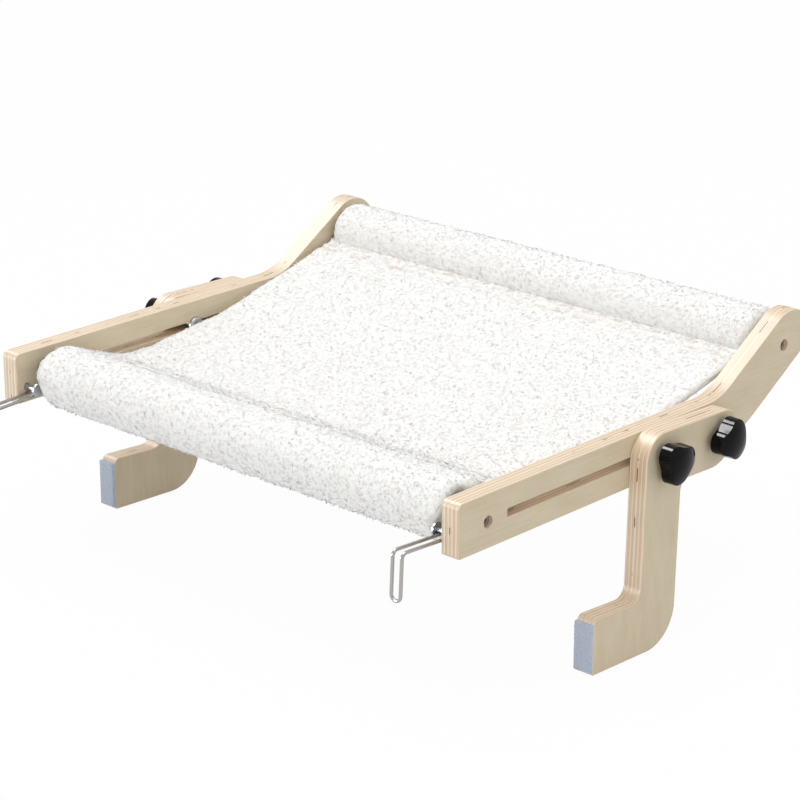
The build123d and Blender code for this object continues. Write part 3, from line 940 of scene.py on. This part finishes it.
@dataclass(frozen=True)
class Pile:
    """The curly pile, as thin bent locks that lie over one another and lean together in swirls."""

    locks_per_face: float = 1.25
    length: float = 2.5 * MM
    rise: float = 0.3 * MM
    least_rise: float = 0.6
    stray_rise: float = 4.5
    stray_power: int = 4
    radius: float = 0.25 * MM
    flatness: float = 0.6
    lean: float = 0.4
    bend: float = 0.45
    bend_curl: float = 0.3
    bend_swell: float = 1.15
    curl: float = 0.4
    droop: float = 0.75
    cloth_share: float = 4.0
    spread_share: float = 0.45
    seam_loss: float = 0.4
    most_area: float = 1.5
    stray: float = 0.9
    swirl: float = 7 * MM
    corners: int = 3
    pieces: int = 3
    seed: int = 11

    def make(self, sling: Sling, cloth: Mesh, material: Material) -> list[Object]:
        """Plants the locks, in pieces from front to rear.

        Args:
            sling: The sling that they grow on.
            cloth: The sling's mesh.
            material: The fleece.

        Returns:
            The pieces, riding on the frame.
        """
        chance = random.Random(self.seed)
        # Without a seed, Blender's vector noise would turn the swirls differently on each run
        noise.seed_set(self.seed)
        locks = sorted(self._locks(sling, cloth, chance), key=lambda lock: lock.place.y)
        share = math.ceil(len(locks) / self.pieces)
        parts = (locks[number * share:(number + 1) * share] for number in range(self.pieces))
        return [
            self._piece(f"fleece_pile_{number}", part, material, chance)
            for number, part in enumerate(parts, 1)
        ]

    def _locks(self, sling: Sling, cloth: Mesh, chance: random.Random) -> list[Lock]:
        """Picks where the locks grow, evenly but not regularly spread.

        Args:
            sling: The sling.
            cloth: Its mesh.
            chance: The source of the spread.

        Returns:
            The locks.
        """
        full = sling.step**2
        locks = []
        for face in cloth.polygons:
            if not sling.has_pile(face.center, face.normal):
                continue
            corners = [cloth.vertices[number].co for number in face.vertices]
            wanted = self.locks_per_face * min(face.area / full, self.most_area)
            for _ in range(int(wanted + chance.random())):
                along, across = chance.random(), chance.random()
                near = corners[0].lerp(corners[1], along)
                far = corners[-1].lerp(corners[2 if len(corners) > 3 else 1], along)
                place = near.lerp(far, across)
                stray = self.stray_rise * chance.random() ** self.stray_power
                rise = self.rise * (self.least_rise + stray)
                locks.append(Lock(place, face.normal.copy(), rise, sling.seam(place, face.normal)))
        return locks

    def _piece(self, name: str, locks: list[Lock], material: Material, chance: random.Random) -> Object:
        """Builds one piece of pile.

        Args:
            name: The piece's name.
            locks: Its locks.
            material: The fleece.
            chance: The source of the locks' unevenness.

        Returns:
            The finished piece.
        """
        corners, faces, seams, normals = [], [], [], []
        for lock in locks:
            self._grow(lock, chance, corners, faces)
            seams.extend([lock.seam] * (len(corners) - len(seams)))
            normals.extend([lock.normal] * (len(corners) - len(normals)))
        mesh = bpy.data.meshes.new(name)
        mesh.from_pydata(corners, [], faces)
        mesh.attributes.new("seam", "FLOAT", "POINT").data.foreach_set("value", seams)
        mesh.polygons.foreach_set("use_smooth", [True] * len(mesh.polygons))
        mesh.materials.append(material)
        mesh.update()
        own_normals = (own.vector for own in mesh.vertex_normals)
        mesh.normals_split_custom_set_from_vertices(
            [(own + up * self.cloth_share).normalized() for own, up in zip(own_normals, normals)]
        )
        piece = new_object(name, mesh)
        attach(piece, "frame")
        LOG.info("%s: %d locks", name, len(locks))
        return piece

    def _grow(
        self, lock: Lock, chance: random.Random, corners: list[Vector], faces: list[tuple[int, ...]]
    ) -> None:
        """Adds one closed lock: a foot in the cloth, a raised bend and a tip that curls back.

        Args:
            lock: Where it grows.
            chance: The source of its length and lie.
            corners: The piece's corners so far, which it adds to.
            faces: The piece's faces so far.
        """
        place, normal = lock.place, lock.normal
        side = normal.orthogonal().normalized()
        across = normal.cross(side)
        turn = chance.uniform(0, math.tau)
        lie = noise.noise_vector(place / self.swirl)
        lie += self.stray * (side * math.cos(turn) + across * math.sin(turn))
        lie = (lie - normal * lie.dot(normal)).normalized()
        beside = normal.cross(lie)
        size = chance.uniform(1 - self.spread_share, 1 + self.spread_share)
        length = self.length * (size * (1 - self.seam_loss * lock.seam))
        curl = beside * chance.uniform(-self.curl, self.curl) * length
        foot = place - normal * self.radius
        bend = place + normal * lock.rise + lie * self.bend * length + curl * self.bend_curl
        first = len(corners)
        for centre, radius in ((foot, self.radius), (bend, self.radius * self.bend_swell)):
            for number in range(self.corners):
                angle = math.tau * number / self.corners
                upright = (normal - lie * self.lean) * self.flatness * math.sin(angle)
                corners.append(centre + (beside * math.cos(angle) + upright) * radius)
        corners.append(place + normal * lock.rise * self.droop + lie * length + curl)
        second = first + self.corners
        tip = second + self.corners
        for number in range(self.corners):
            following = (number + 1) % self.corners
            faces.append((first + number, first + following, second + following, second + number))
            faces.append((second + number, second + following, tip))
        faces.append(tuple(first + number for number in reversed(range(self.corners))))


@dataclass
class FeltPad:
    """One felt pad on a leg's toe."""

    side: str
    cell: float = 0.45 * MM
    rough: float = 0.22 * MM
    tuft: float = 1.1 * MM
    softness: float = 0.5
    passes: int = 3
    crease: float = math.radians(50)

    def make(self, material: Material) -> Object:
        """Builds the pad where its CAD solid is.

        Args:
            material: The felt.

        Returns:
            The finished pad, riding on its leg.
        """
        low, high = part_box(f"{self.side}_felt_pad")
        spread = high - low
        bpy.ops.object.select_all(action="DESELECT")
        bpy.ops.mesh.primitive_cube_add(size=1.0)
        piece = bpy.context.active_object
        piece.name = f"{self.side}_felt"
        piece.scale = spread
        piece.location = (low + high) / 2
        bpy.ops.object.transform_apply(location=True, rotation=True, scale=True)
        matted = piece.modifiers.new("matted", "REMESH")
        matted.mode = "VOXEL"
        matted.voxel_size = self.cell
        bpy.ops.object.modifier_apply(modifier="matted")
        softened = piece.modifiers.new("softened", "SMOOTH")
        softened.factor = self.softness
        softened.iterations = self.passes
        bpy.ops.object.modifier_apply(modifier="softened")
        normals = [vertex.normal.copy() for vertex in piece.data.vertices]
        for vertex, normal in zip(piece.data.vertices, normals):
            vertex.co += normal * self.rough * noise.noise(vertex.co / self.tuft)
        piece.data.materials.append(material)
        bpy.ops.object.shade_smooth_by_angle(angle=self.crease)
        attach(piece, f"{self.side}_leg_set")
        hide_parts(f"{self.side}_felt_pad")
        return piece


@dataclass
class Timber:
    """The plywood arms and legs, whose shapes are the frame's own."""

    arm_inner_face: float = 210 * MM
    leg_inner_face: float = 225 * MM

    def make(self) -> None:
        """Gives arms and legs their plywood."""
        arm_ply = BirchPlywood("birch_plywood_arm", Grain.ALONG_ARM, self.arm_inner_face).make()
        leg_ply = BirchPlywood("birch_plywood_leg", Grain.DOWN_LEG, self.leg_inner_face).make()
        dress((f"{side}_arm" for side in SIDES), arm_ply)
        dress((f"{side}_leg" for side in SIDES), leg_ply)


@dataclass
class Hardware:
    """The crossbars, screws, bolts, knobs, hooks and pins."""

    def make(self) -> None:
        """Gives each metal or plastic piece its finish."""
        fine, long = 0.3 * MM, 30 * MM
        tube = Metal("drawn_steel_tube", "#A9ABAE", 0.32, 0.06, (long, fine, fine)).make()
        zinc = Metal("zinc_plated_steel", "#B7B9BC", 0.36, 0.07, (2 * MM, 2 * MM, 2 * MM)).make()
        wire = Metal("bright_chromed_wire", "#B4B1AE", 0.17, 0.04, (3 * MM, 3 * MM, 3 * MM)).make()
        brass = Metal("turned_brass", "#C79F5C", 0.28, 0.05, (fine, 4 * MM, 4 * MM)).make()
        dress((f"{end}_crossbar" for end in ENDS), tube)
        for side in SIDES:
            dress((f"{side}_hook",), wire)
            dress((f"{side}_hook_pin", f"{side}_pin_sleeve"), zinc)
            dress((f"{side}_{end}_knob_insert" for end in ENDS), brass)
            for kind in ("bar_plug", "bar_screw", "clamp_bolt", "washer"):
                dress((f"{side}_{end}_{kind}" for end in ENDS), zinc)
        phenolic = GlossPhenolic().make()
        dress((f"{side}_{end}_knob" for side in SIDES for end in ENDS), phenolic)


@dataclass(frozen=True)
class PhotoCamera:
    """The camera, at the place and angle that the photograph was taken from."""

    place: tuple[float, float, float] = (1.338755, -1.256815, 0.708336)
    azimuth: float = 42.825
    elevation: float = 19.635
    roll: float = 0.055
    lens: float = 128.03
    sensor: float = 36.0
    clip: tuple[float, float] = (0.05, 50.0)

    def make(self) -> None:
        """Builds the camera and makes it the scene's own."""
        data = bpy.data.cameras.new("photo_camera")
        data.lens = self.lens
        data.sensor_width = self.sensor
        data.clip_start, data.clip_end = self.clip
        camera = new_object("photo_camera", data)
        tilt = Matrix.Rotation(math.radians(90 - self.elevation), 4, "X")
        turn = Matrix.Rotation(math.radians(self.azimuth), 4, "Z")
        roll = Matrix.Rotation(math.radians(self.roll), 4, "Z")
        camera.matrix_world = Matrix.Translation(self.place) @ turn @ tilt @ roll
        bpy.context.scene.camera = camera


@dataclass(frozen=True)
class Lamp:
    """A square lamp that faces the perch. Only gloss picks a panel up."""

    name: str
    place: tuple[float, float, float]
    size: float
    power: float
    panel: bool = False

    def make(self) -> None:
        """Hangs the lamp."""
        data = bpy.data.lights.new(self.name, "AREA")
        data.shape = "SQUARE"
        data.size = self.size
        data.energy = self.power
        lamp = new_object(self.name, data)
        toward = (CAD_LOW + CAD_HIGH) / 2 - Vector(self.place)
        lamp.location = self.place
        lamp.rotation_euler = toward.to_track_quat("-Z", "Y").to_euler()
        lamp.visible_camera = False
        lamp.visible_diffuse = not self.panel


@dataclass(frozen=True)
class Studio:
    """A white floor, soft light from above and two bright panels on the left."""

    floor_gap: float = 0.5 * MM
    floor_size: float = 12.0
    floor_colour: str = "#EFEFEF"
    shown_white: float = 0.96
    sky: float = 0.83
    lamps: tuple[Lamp, ...] = (
        Lamp("soft_key", place=(0.1, -0.2, 2.0), size=1.6, power=15.0),
        Lamp("gloss_panel_over", place=(-1.16, 0.1, 1.7), size=0.8, power=75.0, panel=True),
        Lamp("gloss_panel_side", place=(-1.03, -1.3, 0.15), size=0.5, power=34.0, panel=True),
    )

    def make(self) -> None:
        """Builds the floor, the sky and the lamps."""
        self._floor()
        self._sky()
        for lamp in self.lamps:
            lamp.make()
        bpy.context.scene.view_settings.view_transform = "Standard"

    def _floor(self) -> None:
        """Lays a pale floor that keeps a faint shadow."""
        bpy.ops.object.select_all(action="DESELECT")
        level = CAD_LOW.z - self.floor_gap
        bpy.ops.mesh.primitive_plane_add(size=self.floor_size, location=(0, 0, level))
        floor = bpy.context.active_object
        floor.name = "studio_floor"
        material, tree = new_material("matt_white_floor")
        matt = add_node(tree, "BsdfDiffuse", {"Color": linear(self.floor_colour)})
        white = add_node(tree, "Emission", {"Color": WHITE, "Strength": 1.0})
        seen = add_node(tree, "LightPath").outputs["Is Camera Ray"]
        share = add_node(tree, "Math", {"operation": "MULTIPLY", 1: self.shown_white}, {0: seen})
        mix = add_node(tree, "MixShader", links={0: share, 1: matt, 2: white})
        finish_material(tree, mix)
        floor.data.materials.append(material)

    def _sky(self) -> None:
        """Lights the scene evenly, and shows as plain white."""
        world = bpy.data.worlds.new("studio_sky")
        bpy.context.scene.world = world
        world.use_nodes = True
        tree = world.node_tree
        tree.nodes.clear()
        light = add_node(tree, "Background", {"Color": WHITE, "Strength": self.sky})
        white = add_node(tree, "Background", {"Color": WHITE, "Strength": 1.0})
        seen = add_node(tree, "LightPath").outputs["Is Camera Ray"]
        mix = add_node(tree, "MixShader", links={0: seen, 1: light, 2: white})
        add_node(tree, "OutputWorld", links={"Surface": mix})


def main() -> None:
    """Builds every piece in order and reports it."""
    logging.basicConfig(level=logging.INFO, format="%(message)s")
    PhotoCamera().make()
    Studio().make()
    Timber().make()
    LOG.info("plywood arms and legs dressed")
    Hardware().make()
    LOG.info("metal and plastic pieces dressed")
    sling = Sling().make(SherpaFleece().make())
    LOG.info("%s: %d faces", sling.name, len(sling.data.polygons))
    felt = WoolFelt().make()
    for side in SIDES:
        pad = FeltPad(side).make(felt)
        LOG.info("%s: %d faces", pad.name, len(pad.data.polygons))


if __name__ == "__main__":
    main()
